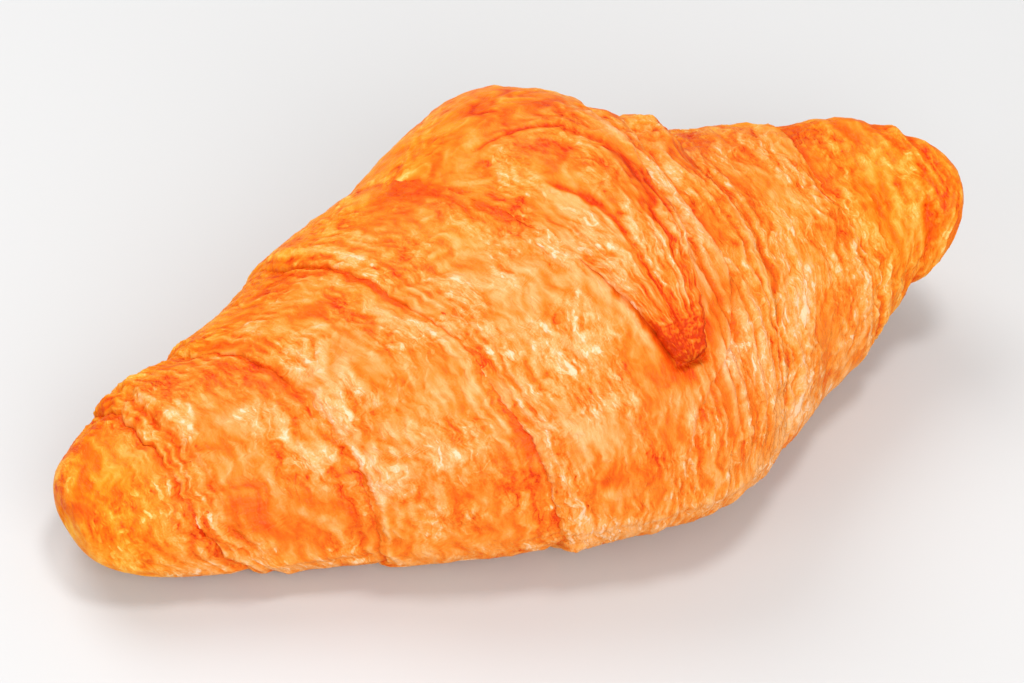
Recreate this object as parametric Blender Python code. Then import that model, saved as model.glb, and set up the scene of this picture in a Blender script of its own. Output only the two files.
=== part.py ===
"""A straight butter croissant: one baked piece of rolled, laminated dough.

The dough is a long triangle, rolled up from its base.  Its two cut edges wind in from the
tips, one turn after another, and meet at the triangle's point: a short tongue that lies over
the crown and ends on the front.  Each cut edge is a step in the crust, higher on the side of
the middle.  The piece lies on a flat, tray-baked underside.

Frame: +X along the roll, the longer arm on -X; -Y is the front, where the tongue ends; +Z up.
The origin is under the middle of the piece, on the face that it rests on.
Round the girth, 0 degrees is the back, 90 the crown, 180 the front and 270 the underside.
"""

import bpy
import bmesh
import numpy as np

MM = 0.001

LENGTH = 165 * MM
FLAT_CUT = 1.6 * MM          # how much of the round underside the tray has pressed flat
TIP_LIFT = (6.0 * MM, 12.5 * MM)    # each tip rises this far off the tray

# The roll's width, height and bow along its length, before the steps of the crust.
# Place is the share of the half length: -1 is the long arm's tip and 1 the short arm's.
PLACE = (-1.00, -0.80, -0.60, -0.35, -0.10, 0.15, 0.40, 0.60, 0.80, 1.00)
HALF_WIDTH = np.array((13.3, 18.5, 23.1, 32.9, 39.8, 45.3, 36.4, 28.3, 25.7, 30.4)) * MM
BOW = np.array((10.9, 12.0, 9.9, 7.2, 4.7, 4.1, 3.3, 4.9, 5.0, -5.8)) * MM
SLIMNESS = (0.72, 0.72, 0.69, 0.65, 0.62, 0.61, 0.64, 0.68, 0.72, 0.74)   # height over width
TIP_ROUNDING = (0.40, 0.45)  # share of the half length over which each tip rounds off
TIP_POWER = (3.5, 1.8)       # superellipse power of that rounding: more is blunter
WAIST_HEIGHT = 0.44          # height of the widest line, as a share of the section's height
CROWN_POWER = 2.15           # superellipse powers of the section, over and under that line
FOOT_POWER = 2.9

# The cut edges of the dough: where each crosses five lines round the girth, in mm along X, and
# how high its step is there.  The lines are the back foot, the back shoulder, the crown, the
# front shoulder and the front foot.
EDGE_ANGLES = (-30, 50, 100, 150, 210)
LONG_ARM_EDGES = (
    ("tip_wrap",    (-71.3, -68.8, -67.4, -66.2, -57.0), (0.8, 1.0, 1.6, 1.9, 0.9)),
    ("tip_fold",    (-67.0, -65.0, -63.8, -61.7, -53.5), (0.4, 0.7, 0.9, 0.9, 0.4)),
    ("arm_wrap",    (-57.0, -52.2, -44.0, -40.7, -37.5), (0.8, 1.1, 1.8, 2.2, 0.9)),
    ("middle_wrap", (-38.0, -33.4, -22.6, -16.3, -11.5), (0.6, 0.9, 1.6, 2.8, 1.5)),
)
SHORT_ARM_EDGES = (
    ("tongue_fold", (38.0, 33.2, 28.2, 18.5, 8.0), (0.3, 0.4, 0.9, 1.2, 0.6)),
    ("middle_wrap", (47.0, 41.5, 38.0, 32.4, 29.5), (0.8, 1.6, 1.6, 2.6, 1.6)),
    ("arm_wrap",    (61.5, 61.0, 59.0, 59.9, 58.0), (0.8, 1.7, 1.8, 2.2, 0.7)),
    ("tip_fold",    (76.5, 75.0, 74.5, 71.9, 63.0), (0.5, 0.5, 1.0, 1.0, 0.4)),
    ("tip_wrap",    (79.3, 78.8, 76.9, 73.8, 70.0), (0.5, 1.0, 1.0, 1.0, 1.0)),
)
EDGE_BAND = 2.2 * MM         # width of the sloping cut face of a step
EDGE_REACH = 13.0 * MM       # how far each step is spread into the crust on either side
FOOT_DIP = 0.5 * MM          # the crease along the foot of a step
DIP_WIDTH = 1.6 * MM

# The tongue: the end of the triangle, from the back over the crown to its point.
TONGUE_ANGLES = (-30, 50, 100, 132, 150)
TONGUE_LEFT = np.array((-22.0, -13.0, -0.6, 5.3, 8.6)) * MM
TONGUE_RIGHT = np.array((33.0, 28.5, 22.0, 18.0, 15.0)) * MM
TONGUE_RISES = np.array((1.0, 1.6, 2.4, 3.0, 2.8)) * MM
TONGUE_END = (147, 154)      # girth angles over which its end drops to the crust below
STEP_FADE = (-45, -25, 200, 222)   # the steps die out under the foot
TIP_FADE = 0.05              # and over this share of the half length at each tip

# The mesh: points round each ring are closer over the crust than under it.
CRUST_ARC = (-20, 200, 5)    # from, to and spacing, in degrees round the girth
UNDER_ARC = (200, 340, 10)
CRUST_STEP = 2.6 * MM        # spacing of the rings between the cut edges
TIP_RINGS = 7                # rings from each tip to the first cut edge
LEAST_GAP = 0.7 * MM

CRUST_COLOUR = (0.80, 0.31, 0.06, 1.0)
CRUST_ROUGHNESS = 0.42


def smooth(t):
    """0 below 0, 1 above 1, and an even S curve between."""
    t = np.clip(t, 0.0, 1.0)
    return t * t * (3 - 2 * t)


def through(places, values, at):
    """A smooth curve through the given points that doesn't overshoot them."""
    x, y = np.asarray(places, float), np.asarray(values, float)
    step = np.diff(x)
    slope = np.diff(y) / step
    tangent = np.zeros_like(y)
    same_way = slope[1:] * slope[:-1] > 0
    harmonic = 2 * slope[1:] * slope[:-1] / np.where(same_way, slope[1:] + slope[:-1], 1)
    tangent[1:-1] = np.where(same_way, harmonic, 0)
    tangent[0], tangent[-1] = slope[0], slope[-1]
    at = np.clip(at, x[0], x[-1])
    i = np.clip(np.searchsorted(x, at, side="right") - 1, 0, len(x) - 2)
    t = (at - x[i]) / step[i]
    at_start = tangent[i] * step[i] * t * (1 - t) ** 2
    at_end = tangent[i + 1] * step[i] * (1 - t) * t**2
    return y[i] + smooth(t) * (y[i + 1] - y[i]) + at_start - at_end


def around(angles, values, girth):
    """A smooth curve through values at girth angles, which closes on itself under the foot."""
    closed_angles = (*angles, angles[0] + 360)
    closed_values = (*values, values[0])
    turned = (girth - angles[0]) % 360 + angles[0]
    return through(closed_angles, closed_values, turned)


def edge_value(values, girth):
    """A cut edge's place or rise at each girth angle, in metres, from its five values in mm."""
    return around(EDGE_ANGLES, np.array(values) * MM, girth)


def fade(girth):
    """1 where the steps show, 0 on the underside."""
    turned = (girth + 90) % 360 - 90
    start, full, last, end = STEP_FADE
    return smooth((turned - start) / (full - start)) * smooth((end - turned) / (end - last))


def section(place, girth):
    """Points of the plain roll, before its steps; place and girth are arrays of one shape."""
    half = through(PLACE, HALF_WIDTH, place)
    slim = through(PLACE, SLIMNESS, place)
    cap = np.ones_like(place)
    for end, rounding, power in zip((-1, 1), TIP_ROUNDING, TIP_POWER):
        inward = np.clip((1 - end * place) / rounding, 0, 1)
        cap = cap * (1 - (1 - inward) ** power) ** (1 / power)
    full_height = 2 * half * slim
    half_here, height = half * cap, full_height * cap
    angle = np.radians(girth)
    over = np.sin(angle) >= 0
    power = np.where(over, CROWN_POWER, FOOT_POWER)
    out = np.sign(np.cos(angle)) * np.abs(np.cos(angle)) ** (2 / power)
    up = np.sign(np.sin(angle)) * np.abs(np.sin(angle)) ** (2 / power)
    waist = WAIST_HEIGHT * full_height
    share = np.where(over, 1 - WAIST_HEIGHT, WAIST_HEIGHT)
    x = place * LENGTH / 2
    y = through(PLACE, BOW, place) + half_here * out
    lift = np.where(place < 0, *TIP_LIFT) * place**6
    z = waist + share * height * up + lift - FLAT_CUT
    return np.stack((x, y, z), -1)


def step(distance, rise):
    """The crust's height across a cut edge; distance is measured towards the middle."""
    riser = smooth(distance / EDGE_BAND)
    spread = smooth(0.5 + distance / (2 * EDGE_REACH))
    dip = np.exp(-((distance / DIP_WIDTH) ** 2))
    return rise * (riser - spread) - FOOT_DIP * dip


def crown_girth(girth):
    """The girth angle counted from -90, so that it runs on unbroken over the crown."""
    return (girth + 90) % 360 - 90


def tongue_edges(girth):
    """X of the tongue's left and right edge, in metres."""
    turned = crown_girth(girth)
    return (through(TONGUE_ANGLES, TONGUE_LEFT, turned),
            through(TONGUE_ANGLES, TONGUE_RIGHT, turned))


def relief(x, girth):
    """Height of the steps and the tongue over the plain roll."""
    height = np.zeros_like(x)
    for side, edges in ((1, LONG_ARM_EDGES), (-1, SHORT_ARM_EDGES)):
        for _, places, rises in edges:
            height += step(side * (x - edge_value(places, girth)), edge_value(rises, girth))
    left, right = tongue_edges(girth)
    turned = crown_girth(girth)
    inside = smooth((x - left) / EDGE_BAND) * smooth((right - x) / EDGE_BAND)
    end_top, end_foot = TONGUE_END
    reach = smooth((end_foot - turned) / (end_foot - end_top))
    height += through(TONGUE_ANGLES, TONGUE_RISES, turned) * inside * reach
    return height * fade(girth) * smooth((1 - np.abs(x) / (LENGTH / 2)) / TIP_FADE)


def ring_lines(girth):
    """X of the lines that the rings follow, from tip to tip: both tips, and the foot and the
    lip of each cut edge."""
    left, right = tongue_edges(girth)
    under = 1 - fade(girth)
    tracks = [(edge_value(places, girth), 1) for _, places, _ in LONG_ARM_EDGES]
    tracks.append((left + (TONGUE_LEFT[1] - left) * under, 1))
    tracks.append((right + (TONGUE_RIGHT[1] - right) * under, -1))
    tracks += [(edge_value(places, girth), -1) for _, places, _ in SHORT_ARM_EDGES]
    lines = [np.full_like(girth, -LENGTH / 2)]
    for track, side in tracks:
        across = (track, track + side * EDGE_BAND)
        for line in across[::side]:
            lines.append(np.maximum(line, lines[-1] + LEAST_GAP))
    lines.append(np.full_like(girth, LENGTH / 2))
    return lines


def ring_places(girth):
    """X of each ring of the mesh at each girth angle: even between the lines above, and
    bunched towards both tips so that the ends stay round."""
    lines = ring_lines(girth)
    rings = [lines[0]]
    for n, (here, there) in enumerate(zip(lines, lines[1:])):
        count = max(1, round(float(np.mean(there - here)) / CRUST_STEP))
        at_start, at_end = n == 0, n == len(lines) - 2
        count = TIP_RINGS if at_start or at_end else count
        share = np.arange(1, count + 1) / count
        if at_start:
            share = share**2
        if at_end:
            share = 1 - (1 - share) ** 2
        rings += [here + (there - here) * s for s in share]
    return np.array(rings)


def crust():
    """Points of the whole piece, ring by ring from tip to tip."""
    girth = np.concatenate((np.arange(*CRUST_ARC), np.arange(*UNDER_ARC))).astype(float)
    x = ring_places(girth)
    girths = np.broadcast_to(girth, x.shape)
    plain = section(x / (LENGTH / 2), girths)
    along = np.gradient(plain, axis=0)
    looped = np.concatenate((plain[:, -1:], plain, plain[:, :1]), axis=1)
    round_it = looped[:, 2:] - looped[:, :-2]
    outward = np.cross(round_it, along)
    outward /= np.maximum(np.linalg.norm(outward, axis=2, keepdims=True), 1e-12)
    points = plain + outward * relief(x, girths)[..., None]
    points[..., 2] = np.maximum(points[..., 2], 0)
    return points


def centred(points):
    """The points moved so that their box is centred over the origin, with its foot at 0."""
    low, high = points.min((0, 1)), points.max((0, 1))
    return points - np.array(((low[0] + high[0]) / 2, (low[1] + high[1]) / 2, low[2]))


def build_croissant():
    points = centred(crust())
    rings, girths = points.shape[:2]
    bm = bmesh.new()
    first = bm.verts.new(points[0, 0])
    last = bm.verts.new(points[-1, 0])
    verts = [[bm.verts.new(p) for p in ring] for ring in points[1:-1]]
    for j in range(girths):
        k = (j + 1) % girths
        bm.faces.new((first, verts[0][j], verts[0][k]))
        bm.faces.new((last, verts[-1][k], verts[-1][j]))
        for ring, following in zip(verts, verts[1:]):
            bm.faces.new((ring[j], following[j], following[k], ring[k]))
    bmesh.ops.recalc_face_normals(bm, faces=bm.faces)
    mesh = bpy.data.meshes.new("croissant")
    bm.to_mesh(mesh)
    bm.free()
    mesh.shade_smooth()
    croissant = bpy.data.objects.new("croissant", mesh)
    bpy.context.scene.collection.objects.link(croissant)
    croissant.data.materials.append(crust_material())
    return croissant


def crust_material():
    material = bpy.data.materials.new("baked_crust")
    material.use_nodes = True
    shader = material.node_tree.nodes["Principled BSDF"]
    shader.inputs["Base Color"].default_value = CRUST_COLOUR
    shader.inputs["Roughness"].default_value = CRUST_ROUGHNESS
    shader.inputs["Metallic"].default_value = 0.0
    return material


def main():
    for old in list(bpy.data.objects):
        bpy.data.objects.remove(old)
    build_croissant()


main()
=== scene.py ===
import math
from concurrent.futures import ThreadPoolExecutor

import bpy
import numpy as np
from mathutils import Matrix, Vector


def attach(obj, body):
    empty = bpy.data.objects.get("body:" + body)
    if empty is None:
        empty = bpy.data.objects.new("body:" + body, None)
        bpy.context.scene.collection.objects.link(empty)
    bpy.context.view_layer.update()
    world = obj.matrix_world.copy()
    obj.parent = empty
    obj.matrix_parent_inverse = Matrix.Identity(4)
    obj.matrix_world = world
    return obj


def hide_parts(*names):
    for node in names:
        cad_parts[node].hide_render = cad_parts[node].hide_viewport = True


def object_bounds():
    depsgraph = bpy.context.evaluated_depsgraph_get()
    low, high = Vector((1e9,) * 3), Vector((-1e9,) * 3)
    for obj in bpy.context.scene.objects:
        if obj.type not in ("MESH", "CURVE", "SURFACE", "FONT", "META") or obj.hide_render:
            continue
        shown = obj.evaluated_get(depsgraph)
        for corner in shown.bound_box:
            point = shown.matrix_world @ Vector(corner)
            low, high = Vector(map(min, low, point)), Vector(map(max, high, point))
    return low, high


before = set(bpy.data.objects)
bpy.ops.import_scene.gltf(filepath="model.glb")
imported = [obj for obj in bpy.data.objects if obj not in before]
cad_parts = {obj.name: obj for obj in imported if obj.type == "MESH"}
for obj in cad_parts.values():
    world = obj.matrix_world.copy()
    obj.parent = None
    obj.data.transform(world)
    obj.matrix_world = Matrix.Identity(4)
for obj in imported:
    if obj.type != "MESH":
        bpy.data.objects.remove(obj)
cadLow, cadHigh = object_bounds()
print("stage: frame loaded")

# All shapes are worked out in millimetres and put into the meshes in metres.
# x runs along the roll, from the long arm's tip to the short arm's. Girth is the angle round
# the roll: 0 is the back, 90 the crown, 180 the front and 270 the underside.

roll = {
    "places": (-1.0, -0.8, -0.6, -0.35, -0.1, 0.15, 0.4, 0.6, 0.8, 1.0),  # share of half length
    "halfWidths": (13.3, 18.5, 23.1, 32.9, 39.8, 45.3, 36.4, 28.3, 25.7, 30.4),
    "bows": (10.9, 12.0, 9.9, 7.2, 4.7, 4.1, 3.3, 4.9, 5.0, -5.8),
    "slimness": (0.72, 0.72, 0.69, 0.65, 0.62, 0.61, 0.64, 0.68, 0.72, 0.74),
    "tipRounding": (0.40, 0.45),
    "tipPower": (3.5, 1.8),
    "tipLift": (6.0, 12.5),
    "flatCut": 1.6,
    "waist": 0.44,
    "crownPower": 2.15,
    "footPower": 2.9,
    "shiftY": -4.69,   # brings the roll over the middle of its box
}
halfLength = (cadHigh.x - cadLow.x) * 500

# The cut edges of the dough. side is +1 where the dough over the edge lies towards +X.
# places: x of the foot of the cut at girth angles; rises: its height; bands: its width.
edges = {
    "longTip": {
        "side": 1,
        "places": ((-30, -71.3), (31, -69.8), (50, -68.8), (68, -68.1), (91, -67.8), (110, -66.6),
                   (150, -66.1), (175, -63.6), (189, -60.6), (210, -57.0)),
        "rises": ((-30, 0.9), (50, 1.8), (100, 1.5), (150, 1.7), (210, 1.0)),
        "bands": ((-30, 2.0), (50, 2.4), (100, 3.0), (150, 3.6), (210, 2.0)),
    },
    "longArm": {
        "side": 1,
        "places": ((-30, -57.0), (50, -52.6), (67, -49.4), (77, -46.6), (91, -45.0), (107, -43.4),
                   (126, -42.2), (146, -41.0), (178, -39.4), (210, -37.5)),
        "rises": ((-30, 0.8), (50, 1.7), (75, 1.3), (100, 1.2), (150, 1.7), (210, 0.9)),
        "bands": ((-30, 2.0), (50, 3.0), (100, 5.5), (150, 4.5), (210, 2.0)),
    },
    "middleLong": {
        "side": 1,
        "places": ((-30, -38.0), (44, -34.4), (65, -30.2), (77, -26.6), (96, -22.8), (107, -20.2),
                   (126, -18.0), (142, -16.3), (156, -14.7), (178, -13.4), (210, -11.2)),
        "rises": ((-30, 0.7), (50, 1.3), (75, 0.9), (100, 1.1), (150, 2.3), (210, 1.4)),
        "bands": ((-30, 2.0), (50, 3.0), (100, 4.5), (150, 5.5), (185, 4.5), (210, 2.5)),
    },
    "middleShort": {
        "side": -1,
        "places": ((-30, 47.0), (50, 41.5), (63, 39.2), (85, 38.6), (104, 38.8), (124, 37.0),
                   (139, 35.6), (150, 34.0), (181, 32.0), (210, 30.5)),
        "rises": ((-30, 0.8), (50, 2.0), (100, 1.3), (150, 2.2), (210, 1.4)),
        "bands": ((-30, 2.0), (50, 2.4), (100, 3.0), (150, 5.0), (190, 6.0), (210, 3.0)),
    },
    "shortArm": {
        "side": -1,
        "places": ((-30, 61.5), (50, 61.0), (78, 60.0), (92, 59.3), (109, 58.6), (130, 59.3),
                   (157, 60.0), (188, 59.2), (210, 58.0)),
        "rises": ((-30, 0.8), (50, 2.1), (100, 1.4), (150, 1.8), (210, 0.7)),
        "bands": ((-30, 2.0), (50, 2.6), (100, 3.4), (150, 4.4), (210, 2.4)),
    },
}
# Folds that stay part of a turn's own skin: the same steps, without an open edge.
softFolds = {
    "longTipFold": {
        "side": 1,
        "places": ((-30, -67.0), (50, -65.4), (89, -64.9), (100, -63.9), (117, -62.7), (142, -62.0),
                   (164, -60.6), (190, -56.5), (210, -53.5)),
        "rises": ((-30, 0.4), (50, 0.9), (100, 1.3), (150, 1.3), (210, 0.5)),
        "band": 1.8,
    },
    "tongueFold": {
        "side": -1,
        "places": ((-30, 38.0), (50, 33.2), (98, 29.0), (109, 28.6), (118, 28.2), (125, 27.0),
                   (132, 25.2), (139, 22.6), (146, 19.0), (152, 14.5), (158, 11.2), (164, 9.6),
                   (174, 7.8), (210, 6.0)),
        "rises": ((-30, 0.3), (50, 0.5), (95, 0.8), (115, 1.5), (140, 1.5), (165, 0.8), (210, 0.3)),
        "band": 1.8,
    },
    "shortTipFold": {
        "side": -1,
        "places": ((-30, 76.5), (50, 75.0), (107, 74.5), (128, 73.5), (146, 72.4), (164, 69.8),
                   (176, 67.4), (210, 63.0)),
        "rises": ((-30, 0.5), (50, 0.5), (100, 1.0), (150, 1.0), (210, 0.4)),
        "band": 1.8,
    },
    "shortTipEnd": {
        "side": -1,
        "places": ((-30, 79.3), (50, 78.8), (101, 76.8), (131, 75.0), (158, 73.3), (210, 70.0)),
        "rises": ((-30, 0.5), (50, 1.0), (100, 1.0), (150, 1.0), (210, 1.0)),
        "band": 1.6,
    },
}
# Other swellings: x, girth, half width in x, half width in girth, height in mm.
bumps = (
    (29, 56, 3.2, 8, 1.1), (36, 58, 2.8, 8, 1.0), (8, 187, 22, 4, 0.7), (-50, 190, 14, 4, 0.4),
    (-30, 112, 5, 16, 0.5), (52, 108, 6, 18, 0.6), (27, 134, 2.2, 16, 0.6), (31, 146, 1.8, 20, 0.6),
    (-8, 146, 7, 14, 0.5), (1, 168, 5, 10, 0.5), (-58, 112, 5, 16, 0.4), (-48, 140, 4, 12, 0.4),
)
edgeReach = 13.0    # how far a step is spread into the dough on either side, mm
footDip = 0.3       # the crease along the foot of a step, mm
dipWidth = 1.6

# The pale layered dough that shows over each cut, and the red skin under it: strengths, and
# widths in mm.
edgeFinish = {
    "longTip": {"pale": 0.26, "paleWidth": 4.0, "red": 0.36, "redWidth": 1.7},
    "longArm": {"pale": 0.22, "paleWidth": 9.0, "red": 0.22, "redWidth": 2.6},
    "middleLong": {"pale": 0.24, "paleWidth": 7.0, "red": 0.32, "redWidth": 1.8},
    "middleShort": {"pale": 0.24, "paleWidth": 7.0, "red": 0.32, "redWidth": 1.8},
    "shortArm": {"pale": 0.20, "paleWidth": 5.0, "red": 0.28, "redWidth": 2.0},
}

# The turns of dough from tip to tip: the edge that each starts at and ends at, and how many turns
# lie between it and the tray.
turns = (
    {"name": "long_tip", "left": None, "right": "longTip", "level": 3, "seed": 11,
     "centre": -70},
    {"name": "long_arm_outer", "left": "longTip", "right": "longArm", "level": 2, "seed": 23},
    {"name": "long_arm_inner", "left": "longArm", "right": "middleLong", "level": 1, "seed": 37},
    {"name": "middle", "left": "middleLong", "right": "middleShort", "level": 0, "seed": 41},
    {"name": "short_arm", "left": "middleShort", "right": "shortArm", "level": 1, "seed": 59},
    {"name": "short_tip", "left": "shortArm", "right": None, "level": 2, "seed": 61,
     "centre": 66},
)


def smooth(t):
    # 0 below 0, 1 above 1, an even S curve between
    t = np.clip(t, 0.0, 1.0)
    return t * t * (3 - 2 * t)


def hump(value, middle, width):
    # 1 at the middle, falling off softly on both sides
    return np.exp(-(((value - middle) / width) ** 2))


def rising(value, start, length):
    # 0 up to the start, 1 from start + length on; a negative length runs the other way
    return smooth((value - start) / length)


def through(pairs, at):
    # a smooth curve through (place, value) pairs that doesn't overshoot them
    x, y = np.array(pairs, float).T
    step = np.diff(x)
    slope = np.diff(y) / step
    tangent = np.zeros_like(y)
    sameWay = slope[1:] * slope[:-1] > 0
    harmonic = 2 * slope[1:] * slope[:-1] / np.where(sameWay, slope[1:] + slope[:-1], 1)
    tangent[1:-1] = np.where(sameWay, harmonic, 0)
    tangent[0], tangent[-1] = slope[0], slope[-1]
    at = np.clip(at, x[0], x[-1])
    i = np.clip(np.searchsorted(x, at, side="right") - 1, 0, len(x) - 2)
    t = (at - x[i]) / step[i]
    return (y[i] + tangent[i] * step[i] * t * (1 - t) ** 2 + smooth(t) * (y[i + 1] - y[i])
            - tangent[i + 1] * step[i] * (1 - t) * t**2)


def around(pairs, girth):
    # the same curve, closed on itself round the girth
    first = pairs[0][0]
    return through((*pairs, (first + 360, pairs[0][1])), (girth - first) % 360 + first)


def fromTop(girth):
    # the girth angle counted from -90, so that it runs on unbroken over the crown
    return (girth + 90) % 360 - 90


# The twelve slopes of gradient noise, four of them twice, so that four bits choose one.
gradients = np.array([(x, y, z) for x in (-1, 0, 1) for y in (-1, 0, 1) for z in (-1, 0, 1)
                      if abs(x) + abs(y) + abs(z) == 2] + [(1, 1, 0), (-1, 1, 0), (0, -1, 1),
                                                            (0, -1, -1)], np.float32)
primes = (374761393, 668265263, 2246822519, 3266489917)


def scrambled(n):
    # an even 32-bit hash
    n = (n ^ (n >> np.uint32(13))) * np.uint32(1274126177)
    n = (n ^ (n >> np.uint32(16))) * np.uint32(2654435761)
    return n ^ (n >> np.uint32(15))


def cellParts(cell, seed):
    # for each axis, what a whole-numbered cell and the one after it put into the hash
    whole = cell.astype(np.int64).astype(np.uint32)
    first = np.uint32(seed * primes[3] % 4294967296)
    return [[(whole[..., k] + np.uint32(ahead % 4294967296)) * np.uint32(primes[k])
             + first * (k == 0) for ahead in (0, 1, -1)] for k in range(3)]


def noiseStrip(points, seed):
    cell = np.floor(points)
    f = (points - cell).astype(np.float32)
    w = f * f * f * (f * (f * 6 - 15) + 10)
    parts = cellParts(cell, seed)
    total = np.zeros(points.shape[:-1], np.float32)
    for a, b, c in np.ndindex(2, 2, 2):
        slope = gradients[scrambled(parts[0][a] + parts[1][b] + parts[2][c]) & np.uint32(15)]
        share = 1.0
        dot = 0.0
        for k, ahead in enumerate((a, b, c)):
            share = share * (w[..., k] if ahead else 1 - w[..., k])
            dot = dot + slope[..., k] * (f[..., k] - ahead)
        total += share * dot
    return total.astype(float) * 1.5


def cellStrip(points, seed):
    cell = np.floor(points)
    f = (points - cell).astype(np.float32)
    nearest = np.full(points.shape[:-1], 9.0, np.float32)
    number = np.zeros(points.shape[:-1], np.float32)
    parts = cellParts(cell, seed)
    for a, b, c in np.ndindex(3, 3, 3):
        bits = scrambled(parts[0][a] + parts[1][b] + parts[2][c])
        gap = 0.0
        for k, ahead in enumerate((a, b, c)):
            spot = ((bits >> np.uint32(10 * k)) & np.uint32(1023)).astype(np.float32) / 1023
            gap = gap + (f[..., k] - spot - (0, 1, -1)[ahead]) ** 2
        closer = gap < nearest
        nearest = np.where(closer, gap, nearest)
        number = np.where(closer, (bits & np.uint32(255)) / np.float32(255), number)
    return np.stack((np.sqrt(nearest), number), -1).astype(float)


def inStrips(work, points, seed):
    # the same sums for every strip of a grid of points, several strips at a time
    strips = np.array_split(points, 12)
    with ThreadPoolExecutor(4) as pool:
        return np.concatenate(list(pool.map(lambda strip: work(strip, seed), strips)))


def noise(points, seed):
    # gradient noise about -1..1: the eight corners' slopes, blended across each cell
    return inStrips(noiseStrip, points, seed)


def cells(points, seed):
    # distance to the nearest of one random point in each cell, and that point's random number
    found = inStrips(cellStrip, points, seed)
    return found[..., 0], found[..., 1]


def section(x, girth):
    # points of the plain roll: superellipses round a bowed axis, rounded off at both tips
    place = np.clip(x / halfLength, -1, 1)
    half, slim, bow = (through(tuple(zip(roll["places"], roll[name])), place)
                       for name in ("halfWidths", "slimness", "bows"))
    cap = np.ones_like(place)
    for end, rounding, power in zip((-1, 1), roll["tipRounding"], roll["tipPower"]):
        inward = np.clip((1 - end * place) / rounding, 0, 1)
        cap = cap * (1 - (1 - inward) ** power) ** (1 / power)
    fullHeight = 2 * half * slim
    angle = np.radians(girth)
    over = np.sin(angle) >= 0
    power = np.where(over, roll["crownPower"], roll["footPower"])
    out = np.sign(np.cos(angle)) * np.abs(np.cos(angle)) ** (2 / power)
    up = np.sign(np.sin(angle)) * np.abs(np.sin(angle)) ** (2 / power)
    share = np.where(over, 1 - roll["waist"], roll["waist"])
    y = bow + half * cap * out
    lift = np.where(place < 0, *roll["tipLift"]) * place**6
    z = roll["waist"] * fullHeight + share * fullHeight * cap * up + lift - roll["flatCut"]
    return np.stack((place * halfLength, y + roll["shiftY"], z), -1)


def outward(x, girth):
    # unit normals of the plain roll, from small steps along it and round it
    lengthwise = section(x + 0.3, girth) - section(x - 0.3, girth)
    ringwise = section(x, girth + 1.0) - section(x, girth - 1.0)
    normal = np.cross(ringwise, lengthwise)
    return normal / np.maximum(np.linalg.norm(normal, axis=-1, keepdims=True), 1e-9)


def wander(girth, seed, size):
    # a small irregular shift of an edge, the same wherever it is asked for
    angle = np.radians(girth)
    ring = np.stack((np.cos(angle), np.sin(angle), np.zeros_like(angle)), -1)
    return size * sum(share * noise(ring * often, seed + k) for k, (often, share) in
                      enumerate(((3.2, 1.0), (9.0, 0.5), (26.0, 0.30), (60.0, 0.10))))


edgeSeeds = {name: 200 + 10 * n for n, name in enumerate((*edges, *softFolds))}
unevenness = {
    "edge": 0.7,       # how far an open edge wanders, mm
    "fold": 0.4,       # and a soft fold
    "band": 0.5,       # shares by which a cut's width and a step's height vary
    "rise": 0.55,
    "riseLimits": (0.35, 1.6),
}


def edgePlace(name, girth):
    # x of the foot of a step, with its small irregular shifts
    edge = edges.get(name) or softFolds[name]
    shift = unevenness["edge" if name in edges else "fold"]
    return around(edge["places"], girth) + wander(girth, edgeSeeds[name], shift)


def bandWidth(name, girth):
    # width of a cut, uneven along it
    uneven = 1 + wander(girth, edgeSeeds[name] + 5, unevenness["band"])
    return around(edges[name]["bands"], girth) * uneven


def rise(name, girth):
    # height of a step, uneven along it
    edge = edges.get(name) or softFolds[name]
    uneven = 1 + wander(girth, edgeSeeds[name] + 7, unevenness["rise"])
    return around(edge["rises"], girth) * np.clip(uneven, *unevenness["riseLimits"])


def ellipses(table, x, girth):
    # sum of soft ellipses laid on the roll
    total = np.zeros_like(x)
    for px, pg, dx, dg, amount in table:
        total += amount * np.exp(-(((x - px) / dx) ** 2 + ((fromTop(girth) - pg) / dg) ** 2))
    return total


def turnHeight(turn, x, girth):
    # height of a turn's skin over the plain roll: each step's rise, spread out on both sides
    height = np.zeros_like(x)
    here = turns.index(turn)
    for name, edge in edges.items():
        starts = "left" if edge["side"] > 0 else "right"
        inner = next(n for n, t in enumerate(turns) if t[starts] == name)
        inside = here >= inner if edge["side"] > 0 else here <= inner
        distance = edge["side"] * (x - edgePlace(name, girth))
        spread = smooth(0.5 + distance / (2 * edgeReach))
        height += rise(name, girth) * (float(inside) - spread)
        if not inside:
            height -= footDip * hump(distance, 0, dipWidth)
    for name, edge in softFolds.items():
        distance = edge["side"] * (x - edgePlace(name, girth))
        step = smooth(distance / edge["band"]) - smooth(0.5 + distance / (2 * edgeReach))
        height += rise(name, girth) * step - footDip * hump(distance, 0, dipWidth / 1.5)
    return height + ellipses(bumps, x, girth)


skin = {
    # across the edges and along them in mm, height in mm
    "swell": (9.0, 20.0, 0.45),
    "folds": (3.8, 15.0, 0.55),
    "crumple": (1.9, 8.5, 0.42),
    "wrinkles": (1.05, 3.8, 0.20),
    "worms": (2.0, 4.6, 0.20),       # thin raised wrinkles
    "layers": (1.0, 26.0, 0.30),     # thin dough layers that show beside a cut edge
    "crinkled": (7.0, 11.0),         # patches where all of these are strong
    "warp": (5.5, 1.8),              # size and strength of the bending of all of these
    "blisters": (4.0, 0.30),         # spacing, height
    "level": 0.3,                    # what the folded noise is on average
    "smoothShare": 0.35,             # share of the relief that is left where it isn't crinkled
}
# How dark the bottom of each kind of crease is painted, as painted shade, and how thin, and how pale each
# kind of crest, partly paler dough and partly painted highlight.
creaseShade = {"folds": (0.7, 0.08), "crumple": (0.8, 0.09), "wrinkles": (0.5, 0.12)}
crestPaleAndHighlight = {"folds": 0.25, "crumple": 0.4, "wrinkles": 0.5, "blisters": 0.4, "worms": 1.1,
             "layers": 1.6}


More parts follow.
